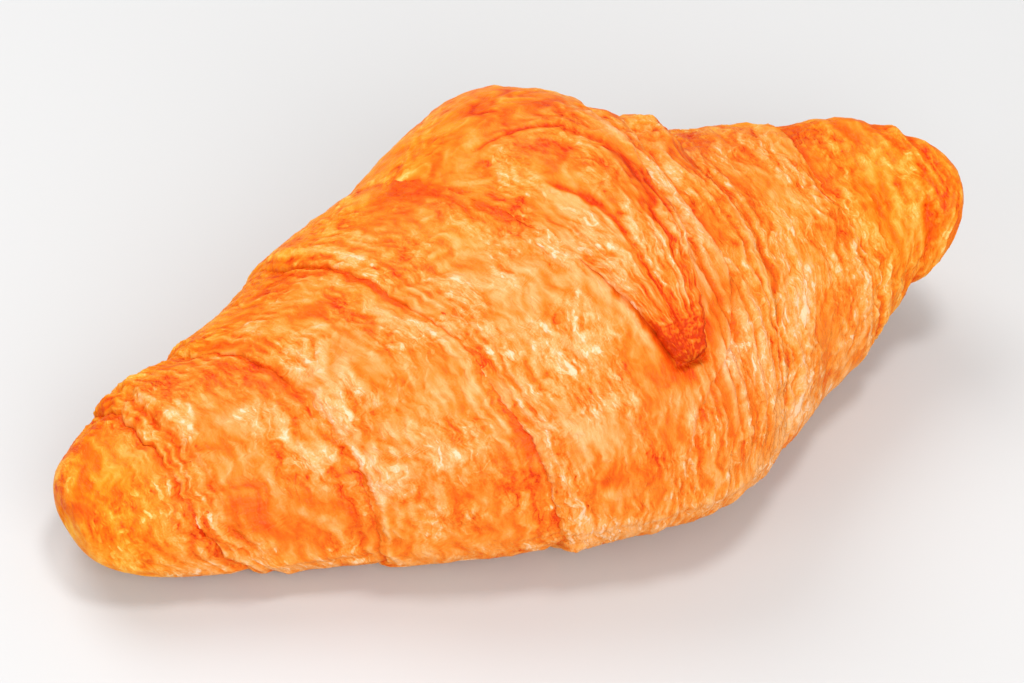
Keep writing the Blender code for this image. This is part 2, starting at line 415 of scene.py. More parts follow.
def along(flow, across, length):
    # flow stretched along the turns: one unit is across mm over them and length mm along them
    return flow / np.array((across, length, length))


def swayed(flow, size, strength, seed):
    # the flow pushed about by three noises of that size, strength mm each way
    return flow + strength * np.stack([noise(flow / size, seed + k) for k in range(3)], -1)


def skinDetail(flow, seed, nearEdge, browningAndLight):
    # fine relief of the baked skin in mm, its tone, which is painted shade in its creases less paler
    # crests, partly painted highlight, and where it is crinkled: folded noises at four sizes, raised cells
    # for the blisters, and ridges where noise is zero
    bent = swayed(flow, *skin["warp"], seed + 40)

    def folded(name, step):
        return np.abs(noise(along(bent, *skin[name][:2]), seed + step))

    swell = noise(along(flow, *skin["swell"][:2]), seed)
    fold, crumple, wrinkle = folded("folds", 1), folded("crumple", 3), folded("wrinkles", 5)
    crinkle = smooth(0.5 + 1.3 * noise(along(flow, *skin["crinkled"]), seed + 2) - 1.8 * browningAndLight
                     + 0.4 * nearEdge)
    spacing, blisterHeight = skin["blisters"]
    gap, number = cells(bent / spacing, seed + 6)
    blister = smooth(1 - gap / (0.26 + 0.4 * number)) * (number > 0.5)
    worm = hump(folded("worms", 9), 0, 0.15) * smooth(3.0 * noise(flow / 5.0, seed + 10) - 0.1)
    lines = noise(along(flow, *skin["layers"][:2]), seed + 8) * nearEdge
    calm = skin["smoothShare"] + (1 - skin["smoothShare"]) * crinkle
    height = (skin["swell"][2] * swell + skin["folds"][2] * (fold - skin["level"])
              + skin["crumple"][2] * (crumple - skin["level"]) * calm
              + skin["wrinkles"][2] * (wrinkle - skin["level"]) * calm
              + blisterHeight * blister * calm + skin["worms"][2] * worm + skin["layers"][2] * lines)
    # painted shade at the bottom of the creases, less the crests' paleness, partly painted highlight
    dark = sum(strength * hump(crease, 0, thin) * share for (strength, thin), crease, share in
               zip(creaseShade.values(), (fold, crumple, wrinkle), (1, calm, calm)))
    light = sum(strength * crest for strength, crest in
                zip(crestPaleAndHighlight.values(), (fold, crumple, wrinkle * calm, blister, worm, lines)))
    return height, dark - light, crinkle


def girthLine(count):
    # girth angles, closer over the crown and the front than under the foot
    fine = np.linspace(0, 360, 3601)
    turned = fromTop(fine)
    weight = 0.42 + 0.58 * smooth((turned - 5) / 25) * smooth((212 - turned) / 20)
    total = np.concatenate(((0,), np.cumsum((weight[1:] + weight[:-1]) / 2)))
    return np.interp(np.arange(count) / count * total[-1], total, fine)


def meshFromRings(name, rings, values):
    # a closed skin over rings of points; the first and last ring close on their middle
    count, across = rings.shape[:2]
    verts = np.concatenate((rings[:1].mean(1), rings[1:-1].reshape(-1, 3), rings[-1:].mean(1)))
    index = 1 + np.arange((count - 2) * across).reshape(count - 2, across)
    nextOne = np.roll(index, -1, axis=1)
    quads = np.stack((index[:-1], index[1:], nextOne[1:], nextOne[:-1]), -1).reshape(-1, 4)
    last = len(verts) - 1
    head = np.stack((np.zeros(across, int), index[0], nextOne[0]), -1)
    tail = np.stack((np.full(across, last), nextOne[-1], index[-1]), -1)
    corner = verts[quads]
    volume = np.einsum("ij,ij->i", corner[:, 0], np.cross(corner[:, 1], corner[:, 2])
                       + np.cross(corner[:, 2], corner[:, 3])).sum()
    if volume < 0:
        quads, head, tail = quads[:, ::-1], head[:, ::-1], tail[:, ::-1]
    mesh = bpy.data.meshes.new(name)
    mesh.vertices.add(len(verts))
    mesh.vertices.foreach_set("co", (verts * 0.001).astype(np.float32).ravel())
    loops = np.concatenate((quads.ravel(), head.ravel(), tail.ravel())).astype(np.int32)
    sizes = np.concatenate((np.full(len(quads), 4), np.full(2 * across, 3)))
    starts = np.concatenate(((0,), np.cumsum(sizes)[:-1])).astype(np.int32)
    mesh.loops.add(len(loops))
    mesh.polygons.add(len(sizes))
    mesh.polygons.foreach_set("loop_start", starts)
    mesh.polygons.foreach_set("vertices", loops)
    mesh.update(calc_edges=True)
    mesh.shade_smooth()
    for key, value in values.items():
        size = value.shape[-1] if value.ndim == 3 else 1
        kept = value.reshape(count, across, size)
        kept = np.concatenate((kept[:1].mean(1), kept[1:-1].reshape(-1, size), kept[-1:].mean(1)))
        kind, field = ("FLOAT_VECTOR", "vector") if size == 3 else ("FLOAT", "value")
        made = mesh.attributes.new(key, kind, "POINT")
        made.data.foreach_set(field, kept.astype(np.float32).ravel())
    obj = bpy.data.objects.new(name, mesh)
    bpy.context.scene.collection.objects.link(obj)
    print(f"stage: {name}, {2 * len(quads) + 2 * across} triangles")
    return obj


def blurred(field, reach):
    # moving average over reach rows and columns on each side, round the closed rings
    for axis in (0, 1):
        pad = [(0, 0), (0, 0)]
        pad[axis] = (reach + 1, reach)
        total = np.cumsum(np.pad(field, pad, mode="wrap" if axis == 1 else "edge"), axis=axis)
        size = 2 * reach + 1
        ahead = np.take(total, np.arange(size, total.shape[axis]), axis=axis)
        behind = np.take(total, np.arange(0, total.shape[axis] - size), axis=axis)
        field = (ahead - behind) / size
    return field


grid = {
    "rowGap": 0.362,      # mm between the rows over a turn's face
    "columnGap": 0.355,
    "columnShare": 0.78,  # fewer columns than that gap asks for, as they spread under the foot
    "bandRows": 16,       # rows down each cut edge
    "bandPower": 1.3,     # above 1 the rows are closer together at its lip
    "hem": ((0.5, 2.0), (0.25, 0.7)),      # under a cut's foot: x past it, depth below it, in mm
    "cutShape": (0.45, 0.55, 2.4),         # the drop into a cut: even part, curved part, its power
    "tuck": 5.0,          # how far a turn runs on under its neighbour
    "tuckRows": 6,
    "tipClose": 0.38,     # how much closer together the rows are towards a tip
}

# Where the oven browned the crust more or less, and some paler patches that are painted highlights and
# painted light where the roll's own shadow falls: x, girth, half width in x, half width in girth, and how
# much browner (+) or paler (-).
browningAndLightPatches = (
    (-41, 56, 5, 8, 0.14), (-30, 68, 4, 7, 0.10), (-10, 69, 7, 6, 0.14), (-14, 58, 6, 5, 0.10),
    (-55, 164, 5, 16, 0.20), (-45, 157, 5, 13, 0.15), (-31, 95, 5, 11, 0.12), (-29, 117, 5, 7, 0.12),
    (-25, 165, 5, 10, 0.10), (2, 172, 4, 10, 0.16), (-5, 164, 5, 6, 0.10), (47, 160, 5, 12, 0.14),
    (57, 72, 4, 20, 0.08), (-77, 128, 3, 8, 0.14), (-77, 153, 3, 6, 0.14), (-74, 172, 4, 8, 0.12),
    (-58, 70, 5, 14, 0.12), (-68, 45, 4, 12, 0.14), (-52, 130, 4, 5, 0.08), (-12, 182, 4, 6, 0.08),
    (-20, 84, 3, 9, 0.10), (-12, 130, 3, 4, 0.10), (36, 60, 6, 14, 0.08), (66, 60, 8, 14, 0.08),
    (26, 118, 2.6, 9, 0.16), (-45, 66, 8, 10, 0.14), (-24, 62, 6, 8, 0.10), (-76, 105, 4, 20, 0.08),
    (78, 110, 4, 30, 0.05), (44, 60, 6, 10, 0.08), (7, 52, 7, 6, 0.22), (-7, 61, 7, 7, 0.24),
    (-31, 50, 5, 8, 0.16), (-36, 57, 5, 7, 0.10), (-43, 82, 5, 6, 0.20), (-50, 83, 5, 8, 0.12),
    (-56, 86, 4, 8, 0.14), (-41, 105, 3, 7, 0.14), (-33, 86, 3, 6, 0.14), (-13, 73, 5, 7, 0.10),
    (-14, 117, 3, 8, 0.20), (-14.6, 127, 3, 6, 0.14), (-12, 142, 4, 5, 0.22), (-75, 95, 4, 12, 0.10),
    (-64, 110, 3, 8, 0.14), (-77, 145, 4, 8, 0.08), (-72, 152, 4, 6, 0.12), (-69, 179, 4, 5, 0.10),
    (-60, 140, 3, 9, 0.14), (-61, 162, 3, 8, 0.10), (-51, 136, 3, 5, 0.14), (-27, 170, 3, 8, 0.12),
    (-36, 177, 3, 6, 0.14), (32, 96, 3, 6, 0.14), (6, 166, 4, 7, 0.08), (-36, 128, 6, 26, -0.06),
    (-12, 124, 5, 26, -0.08), (-4, 112, 6, 14, -0.10), (-70, 130, 9, 40, 0.04), (36, 165, 4, 24, -0.16),
    (29, 160, 3, 30, -0.10), (-60, 84, 3, 12, -0.08), (-50, 118, 8, 12, -0.06),
    (-72, 138, 4, 12, -0.10), (5, 196, 34, 9, -0.20), (46, 196, 12, 8, -0.20), (-45, 200, 20, 8, -0.16),
    (-68, 195, 9, 10, -0.16), (30, 96, 5, 10, -0.04), (52, 118, 5, 14, -0.08), (-5, 131, 6, 9, -0.20),
    (-9, 115, 3, 8, -0.16), (9, 150, 3, 6, -0.18), (10.7, 162, 2.5, 8, -0.14), (25, 138, 3, 14, -0.16),
    (29, 127, 3, 10, -0.12), (20, 149, 3, 6, -0.12), (42, 132, 4, 18, -0.20), (47, 121, 4, 10, -0.10),
    (37, 148, 3, 12, -0.10), (59, 130, 3, 12, -0.12), (33, 172, 5, 8, -0.14), (18, 187, 16, 5, -0.12),
    (-5, 91, 3, 5, -0.16), (30, 90, 3.5, 6, -0.14), (43, 94, 4, 6, -0.12), (-23.5, 104, 5, 6, -0.18),
    (-19, 138, 3, 10, -0.16), (-26, 152, 5, 8, -0.14), (-47, 136, 4, 8, -0.20), (-35, 141, 4, 6, -0.12),
    (-40, 147, 2.5, 8, -0.14), (-30, 74, 4, 6, -0.12), (-25, 83, 4, 6, -0.12), (-62, 94, 3, 6, -0.10),
    (-68, 126, 5, 7, -0.14), (-6, 151, 4, 6, -0.14), (-52, 182, 6, 5, -0.12), (72, 175, 5, 12, -0.12),
    (43, 131, 3.5, 9, -0.16), (-12, 150, 5, 8, -0.12), (-15.5, 133, 2, 7, -0.10),
    (-11, 188, 5, 6, -0.14), (-32, 182, 5, 5, -0.14), (-39.5, 170, 2.5, 14, -0.18),
    (-40.5, 147, 2.5, 9, -0.14), (-42, 129, 3, 7, -0.14), (-41, 114, 3, 6, -0.10),
    (-36, 89, 4, 4, -0.14), (-71, 89, 3, 5, -0.12), (-67, 153, 4, 6, -0.08), (-2, 108, 3, 6, -0.12),
    (-8, 118, 3, 6, -0.12), (-5.6, 86, 3, 4, -0.12), (3, 70, 3, 5, -0.10), (-8, 74, 3, 4, -0.08),
    (-17, 116, 3, 5, -0.08), (-25, 93, 3, 3, -0.08), (68, 98, 4, 5, -0.08), (56, 100, 4, 5, -0.08),
    (7, 56, 4, 5, 0.22), (-8, 59, 6.5, 4, 0.22), (16.5, 62, 4, 5, 0.08), (-15.7, 86, 4, 4, 0.20),
    (-9, 94, 4, 4, 0.18), (-15.5, 99, 4, 4, 0.12), (-21.5, 93, 4, 4, 0.10), (-26, 69, 5, 5, 0.10),
    (-5.3, 114, 3, 5, 0.14), (-1, 124, 3, 4, 0.16), (0, 104, 2, 4, 0.10), (33, 79, 5, 7, 0.20),
    (52, 66, 8, 6, 0.14), (65, 83, 5, 7, 0.12), (75, 85, 4, 10, 0.24), (68, 126, 3.5, 7, 0.22),
    (62.5, 120, 2.5, 6, 0.12), (76.5, 148, 2.5, 8, 0.14), (48, 99, 4, 5, 0.12), (24, 129, 2, 7, 0.38),
    (-2.2, 138, 4, 5, 0.16), (6, 147, 2.5, 4, 0.14), (-17, 152, 4, 6, 0.26), (-20, 166, 3, 6, 0.08),
    (47, 155, 4, 9, 0.14), (36, 129, 2, 6, 0.12), (14, 158, 4, 8, 0.14), (20.6, 152, 3, 7, 0.14),
    (-2, 170, 4, 5, 0.12), (-33, 132, 3, 5, 0.12), (-51, 150, 4, 7, 0.08), (-55, 110, 4, 6, 0.10),
    (-63, 124, 3, 8, 0.12), (-49, 79, 4, 5, 0.10), (-47, 64, 5, 5, 0.12), (-80, 106, 3, 10, 0.14),
    (-70, 169, 4, 5, 0.10), (-78, 159, 3, 6, 0.10), (40, 148, 2.5, 12, -0.16), (18, 188, 6, 5, -0.10),
    (20, 147, 2, 5, -0.10), (61, 148, 3, 6, -0.10), (50, 133, 3, 6, -0.08), (-68, 95, 3, 5, -0.08),
    (-68, 115, 3, 6, -0.10), (-46, 175, 3, 8, -0.06), (0.7, 68, 3, 5, -0.10), (-24, 73, 3, 4, -0.08),
    (5.3, 145, 2.5, 5, 0.18), (5.6, 157, 2.5, 8, 0.16), (-32, 86, 4, 4, 0.12), (-51, 139, 4, 6, 0.12),
    (-58.6, 153, 4, 6, 0.16), (-54.5, 117, 4, 6, 0.12), (-36, 149, 4, 6, 0.16),
    (-0.3, 88.7, 3.2, 3.7, 0.44), (-1, 97, 5, 3.5, 0.16), (12, 92, 3, 4, 0.12), (-36, 101, 3, 5, 0.12),
    (-39, 90, 3, 4, 0.12), (-30, 142, 4, 5, 0.08), (-71, 56, 3, 10, 0.14), (-58, 58, 3, 8, 0.12),
    (-12, 62, 5, 4, 0.16), (-13, 73, 3, 3, 0.08), (-8, 83, 3, 3, 0.08), (-6, 90, 3, 3, -0.16),
    (-65, 157, 4, 5, -0.12), (-70, 95, 2, 16, -0.14), (-54, 106, 3, 5, -0.10),
    (41, 140, 3.5, 16, -0.24), (36, 185.5, 5.5, 7.2, -0.60), (21, 145, 2, 6, -0.14),
    (29.6, 127, 2, 7, -0.12), (-47, 138, 2.5, 5, -0.26), (26, 93, 1.8, 6, -0.16),
    (19, 135, 2.5, 5, 0.26), (22.3, 130, 2, 5, 0.14), (-16, 88, 3, 4, 0.14), (-28, 90, 3, 4, 0.14),
    (-28, 106, 3, 4, 0.12), (-22, 94, 3, 4, 0.12), (-4, 171, 5, 5, 0.12), (-14, 128, 3, 5, 0.12),
    (-8, 144, 4, 4, 0.12), (-65, 82, 3, 7, 0.20), (-62, 85, 3, 5, 0.14), (-65.5, 114, 3, 6, 0.14),
    (-57, 163, 3, 5, 0.14), (-51.4, 141, 3, 7, 0.14), (-47.5, 180, 4, 5, 0.12),
    (-38.3, 135, 3, 5, 0.14), (-41, 167, 3, 6, 0.14), (7, 143, 2.5, 4, 0.26), (5.6, 136, 1.9, 4, 0.34),
    (-36, 89, 3, 4, -0.16), (-33, 147, 4, 6, -0.10), (35.6, 152, 2.5, 8, -0.20), (22, 144, 2, 5, -0.10),
    (33, 180, 3, 6, -0.14), (30, 89, 2.5, 4, -0.16),
)


def rimGlowAndSheen(x, turned):
    # 1 where a clear gold is painted, towards the tips and the back, as painted glow through the thin
    # rims, and below 0 where painted sheen makes it milky
    side = rising(turned, 74, -28) + 0.9 * rising(x, -66, -12) + 0.6 * rising(x, 54, 14)
    sheenArea = rising(turned, 84, 20) * rising(turned, 182, -30) * rising(x, -68, 12) * rising(x, 34, -14)
    return np.clip(side, 0, 1.1) - sheenArea


def softened(tone, darkest=0.92):
    # eased off towards the palest and the darkest, so that no patch goes flat at the ends of the
    # colours; the easing starts at low and at high
    low, palest, span = 0.36, 0.14, 0.2
    high = darkest - span
    pale = palest + (low - palest) * np.exp(np.minimum(tone - low, 0) / (low - palest))
    dark = darkest - span * np.exp(np.minimum(high - tone, 0) / span)
    return np.where(tone < low, pale, np.where(tone > high, dark, tone))


# Long thin ridges of layered dough, between the tongue and the short arm and round the short tip.
layered = {"spacing": 1.5, "length": 34.0, "height": 0.32, "tone": 0.16, "firmness": 2.6}
# Mottling of the glaze: width across the turns and length along them, firmness of the outlines,
# and how much browner or paler the strokes are.
glaze = {"broad": (7.0, 15.0, 1.5, 0.06), "medium": (2.7, 9.5, 2.6, 0.14), "fine": (1.2, 5.0, 3.0, 0.12)}


def strokes(flow, seed):
    # the glaze's strokes: noise with firm outlines, the finer two on a swayed flow
    bent = swayed(flow, 6.0, 1.8, seed + 75)
    return sum(tone * np.tanh(firm * noise(along(flow if name == "broad" else bent, across, length),
                                           seed + 70 + k))
               for k, (name, (across, length, firm, tone)) in enumerate(glaze.items()))


def ridgesOn(flow, seed):
    # the layered dough's ridges, about -1 to 1
    ridges = noise(along(flow, layered["spacing"], layered["length"]), seed)
    return np.tanh(layered["firmness"] * ridges)


# The tongue: the last turn's point, which lies over the middle. Lines are x at girth angles.
tongue = {
    "left": ((-62, -27.0), (-30, -22.0), (50, -11.0), (68, -7.0), (81, -3.4), (94, 0.4), (99, 1.4),
             (108, 3.5), (117, 5.4), (122, 6.4), (129, 7.7), (134, 8.5), (140, 9.4), (148, 10.4)),
    "right": ((-62, 34.0), (-30, 33.0), (50, 28.0), (74, 25.6), (85, 24.8), (95, 23.6), (108, 22.0),
              (117, 19.8), (128, 17.2), (136, 15.6), (148, 13.3)),
    "rise": ((-62, -1.6), (-46, 0.9), (50, 1.6), (85, 2.2), (110, 2.9), (135, 3.8), (150, 3.6)),
    "leftBand": ((-62, 3.0), (50, 5.0), (74, 7.0), (88, 7.0), (101, 4.0), (115, 2.0), (130, 1.0),
                 (150, 0.9)),
    "rightBand": ((-62, 3.0), (50, 3.0), (100, 2.2), (120, 1.6), (150, 1.2)),
    "wander": 0.6,        # how far its edges wander, mm
    "start": -62,
    "end": 143.2,
    "degree": 0.8,        # mm of arc to a degree of girth at its end
    "noseLength": 3.6,    # degrees of girth over which its end rounds off
    "length": 132.0,      # mm round the roll, for the number of rows
    "rowGap": 0.29,
    "topColumns": 116,
    "underColumns": 12,
    "sunk": 1.4,          # its underside lies this deep in the middle turn, mm
    "lowest": 0.35,       # and it stays this high over the tray
}
# Lines that run down the tongue: x at girth angles, how far they wander, the width of the crease,
# the girth angles between which it shows, its height in mm and how much browner it is.
tongueCreases = {
    "crest": {
        "places": ((-62, -18.0), (50, -4.0), (75, 2.0), (91, 7.2), (95, 9.2), (100, 10.9),
                   (105, 11.7), (112, 11.7), (121, 11.6), (130, 11.6), (148, 11.7)),
        "wander": 0.5, "width": 0.75, "from": 86, "to": 138, "height": -0.70, "tone": 0.42,
        "seed": 331,
    },
    "right": {
        "places": ((50, -6.0), (70, 2.0), (73, 8.0), (78, 14.6), (83, 17.4), (89, 19.2), (97, 19.0),
                   (105, 18.0), (117, 16.2), (128, 14.6), (148, 12.6)),
        "wander": 0.5, "width": 1.3, "from": 66, "to": 134, "height": -0.40, "tone": 0.26,
        "seed": 333,
    },
    "streak": {
        "places": ((96, 17.4), (109, 17.3), (114, 17.4), (120, 16.5), (127, 14.9), (138, 13.2)),
        "wander": 0.4, "width": 0.55, "from": 100, "to": 136, "height": -0.40, "tone": 0.36,
        "seed": 345,
    },
    "fold": {
        "places": ((100, 15.2), (108, 14.3), (114, 13.6), (120, 13.2), (130, 12.6)),
        "wander": 0.4, "width": 0.65, "from": 102, "to": 131, "height": -0.45, "tone": 0.40,
        "seed": 349,
    },
    "paleRidge": {
        "places": ((60, 15.0), (68, 18.5), (77, 21.4), (84, 23.4), (93, 23.4), (102, 22.6),
                   (110, 21.6), (120, 19.6)),
        "wander": 0.4, "width": 1.2, "from": 62, "to": 120, "height": 0.30, "tone": -0.24,
        "seed": 347,
    },
}


def tongueLines(girth):
    # x of the tongue's left and right edge
    return (through(tongue["left"], girth) + wander(girth, 301, tongue["wander"]),
            through(tongue["right"], girth) + wander(girth, 317, tongue["wander"]))


def tongueGap(x, girth):
    # distance outside the tongue's outline, in mm
    turned = fromTop(girth)
    left, right = tongueLines(np.minimum(turned, tongue["end"]))
    sideways = np.maximum(left - x, x - right)
    beyond = (turned - tongue["end"]) * tongue["degree"]
    outside = np.hypot(np.maximum(sideways, 0), np.maximum(beyond, 0))
    return np.where((sideways > 0) | (beyond > 0), outside, np.maximum(sideways, beyond))


def turnGrid(turn):
    # the columns' girth, the x of the turn's edges on them, and for all points x, the drop below
    # the skin and the share of the way into a cut
    left, right = turn["left"], turn["right"]
    if left and right:
        centre = sum(edgePlace(name, np.array([90.0]))[0] for name in (left, right)) / 2
    else:
        centre = float(turn["centre"])
    ring = section(np.full(720, centre), np.arange(720) / 2)
    perimeter = np.linalg.norm(np.diff(ring, axis=0), axis=1).sum()
    columns = int(perimeter * grid["columnShare"] / grid["columnGap"])
    girth = girthLine(columns)
    place = {name: edgePlace(name, girth) for name in (left, right) if name}
    width = {name: bandWidth(name, girth) for name in place}
    openLeft = bool(left) and edges[left]["side"] > 0
    openRight = bool(right) and edges[right]["side"] < 0

    def openEdge(name):
        # from deep under the neighbour, up the cut and over its lip
        side, height = edges[name]["side"], rise(name, girth)
        even, curved, power = grid["cutShape"]
        out = [(place[name] - side * past, height + depth, 1.0) for past, depth in grid["hem"]]
        for s in 1 - (1 - np.arange(grid["bandRows"] + 1) / grid["bandRows"]) ** grid["bandPower"]:
            q = 1 - s
            out.append((place[name] + side * width[name] * s,
                        height * (even * q + curved * q**power), q))
        return out

    def tucked(line, way):
        # from a turn's edge on under its neighbour, towards -x or +x
        return [(line + way * grid["tuck"] * s, 0, 0) for s in np.linspace(0, 1, grid["tuckRows"])[1:]]

    lineLeft = place[left] if left else np.full(columns, -halfLength)
    lineRight = place[right] if right else np.full(columns, halfLength)
    start = lineLeft + width[left] if openLeft else lineLeft
    end = lineRight - width[right] if openRight else lineRight
    rows = []
    if openLeft:
        rows += openEdge(left)[:-1]
    elif left:
        rows += tucked(start, -1)[::-1]
    count = int(np.mean(end - start) / grid["rowGap"])
    share = np.arange(count + 1) / count
    if not left:
        share = share - grid["tipClose"] * np.sin(np.pi * share) * (1 - share)
    if not right:
        share = share + grid["tipClose"] * np.sin(np.pi * share) * share
    rows += [(start * (1 - s) + end * s, 0, 0) for s in share]
    if openRight:
        rows += openEdge(right)[::-1][1:]
    elif right:
        rows += tucked(end, 1)
    x, drop, band = (np.array([np.broadcast_to(row[k], (columns,)) for row in rows], float)
                     for k in range(3))
    x = np.clip(x, -halfLength + 0.02, halfLength - 0.02)
    return girth, lineLeft, lineRight, place, x, drop, band


turnLook = {
    "tone": 0.525,                   # 0 is the palest crust and 1 the darkest
    "hollowShading": 0.05,                  # painted shade: how much darker the hollows are, and paler the humps
    "crease": 0.19,                  # and the creases, with painted shade, and how much paler the crests, partly painted highlight
    "under": -0.22,                  # and the underside, which is paler
    "cutFoot": (0.16, 0.10, 0.8),    # brown line at a cut's foot, partly browner crust, partly painted shade in its crease: on the cut, beside it; width in mm
    "cutLayers": (0.65, 1.4, 1.1, 2.4),   # pale layers in a cut: how even, how uneven, mm over and along
    "foldFoot": (0.24, 1.8, 0.7),    # brown at a soft fold's foot, partly browner crust, partly painted shade in its crease: strength, widths below it and over it
    "foldLip": (0.09, 2.6, 1.8),     # paler crust over that: strength, place, width
    "hollowDepth": 0.16,             # mm of hollow that counts in full
}
tongueBed = {    # the middle turn's skin along the tongue
    "lip": (0.55, 0.34, 1.9, 1.0),   # pale swelling beside it: height, tone, place, width
    "groove": (0.25, 0.75, 1.0),     # crease under its edge: at its root, added at its end; width
    "foot": (0.04, 0.76, 0.9),       # painted shade in that crease, likewise
    "redBand": (0.30, 3.2),          # reddish skin beside its root: strength, width
    "shade": (0.40, 10.6, 2.0, 146, 3.2),   # painted shadow just past its end: strength, x, width, girth, width
}


def stepTones(x, girth, flow, gaps, seed):
    # tones of the steps: pale layers in the cuts, brown at their feet (partly browner crust, partly
    # painted shade in the crease there) and on the skin under them
    tone = 0.0
    onCut, beside, lineWidth = turnLook["cutFoot"]
    even, uneven, over, length = turnLook["cutLayers"]
    # at each cut's foot a brown line, partly browner crust and partly painted shade in the crease there
    for name, gap in gaps.items():
        finish = edgeFinish[name]
        if gap.mean() > 0:
            ragged = even + uneven * noise(along(flow, over, length), seed + 90)
            cut = rising(gap, 0.5, 2.4) * hump(gap, 0, finish["paleWidth"])
            tone = tone - finish["pale"] * cut * ragged + onCut * hump(gap, 0, lineWidth)
        else:
            tone = tone + finish["red"] * np.exp(gap / finish["redWidth"])
            tone = tone + beside * hump(gap, 0, lineWidth)
    # brown at each soft fold's foot, partly browner crust and partly painted shade in its crease
    foot, below, above = turnLook["foldFoot"]
    lip, lipPlace, lipWidth = turnLook["foldLip"]
    for name, fold in softFolds.items():
        gap = fold["side"] * (x - edgePlace(name, girth))
        strength = np.clip(rise(name, girth), 0, 1.4)
        line = np.where(gap < 0, np.exp(gap / below), hump(gap, 0, above))
        tone = tone + strength * (foot * line - lip * hump(gap, lipPlace, lipWidth))
    return tone


def besideTongue(x, girth):
    # height and tone of the middle turn's skin along the tongue's outline, with painted shade in the
    # crease under its edge and a painted shadow past its end
    turned = fromTop(girth)
    apart = tongueGap(x, girth)
    left, right = tongueLines(girth)
    atLeft = (x < (left + right) / 2).astype(float)
    shown = rising(turned, 40, 30) * rising(turned, 152, -6)
    lipHeight, lipTone, lipPlace, lipWidth = tongueBed["lip"]
    lip = atLeft * rising(turned, 92, 8) * rising(turned, 144, -8) * hump(apart, lipPlace, lipWidth)
    root, more, grooveWidth = tongueBed["groove"]
    groove = (root + more * rising(turned, 116, 18)) * hump(apart, 0, grooveWidth)
    # painted shade in the crease under the tongue's edge
    root, more, footWidth = tongueBed["foot"]
    foot = (root + more * rising(turned, 121, 12)) * hump(np.maximum(apart, 0), 0, footWidth)
    red, redWidth = tongueBed["redBand"]
    redBand = red * hump(np.maximum(apart, 0), 0, redWidth) * atLeft * rising(turned, 100, -10)
    # painted shadow of the tongue's end on the skin just past it
    shade, shadeX, halfX, shadeGirth, halfGirth = tongueBed["shade"]
    tone = shown * (foot + redBand) - lipTone * lip
    tone = tone + shade * hump(x, shadeX, halfX) * hump(turned, shadeGirth, halfGirth)
    return lipHeight * lip - groove * shown, tone


def layeredRidges(turn, x, girth, flow):
    # where a turn shows long ridges of layered dough, and the ridges themselves
    if turn["name"] not in ("middle", "short_tip"):
        return 0.0, 0.0
    sway = 0.35 * noise(flow / 4.0, 377)
    if turn["name"] == "middle":
        turned = fromTop(girth)
        here = rising(tongueGap(x, girth), -1, 2) * (x > 12) * rising(turned, 72, 14)
        here = here * (0.25 + 0.75 * rising(turned, 172, -20))
        return here, here * ridgesOn(flow + sway[..., None], 371)
    here = 0.75 * rising(x, 64.5, 4) * rising(x, 80.5, -3)
    fromFold = flow.copy()
    fromFold[..., 0] = x - edgePlace("shortTipFold", girth) + sway
    return here, here * ridgesOn(fromFold, 373)


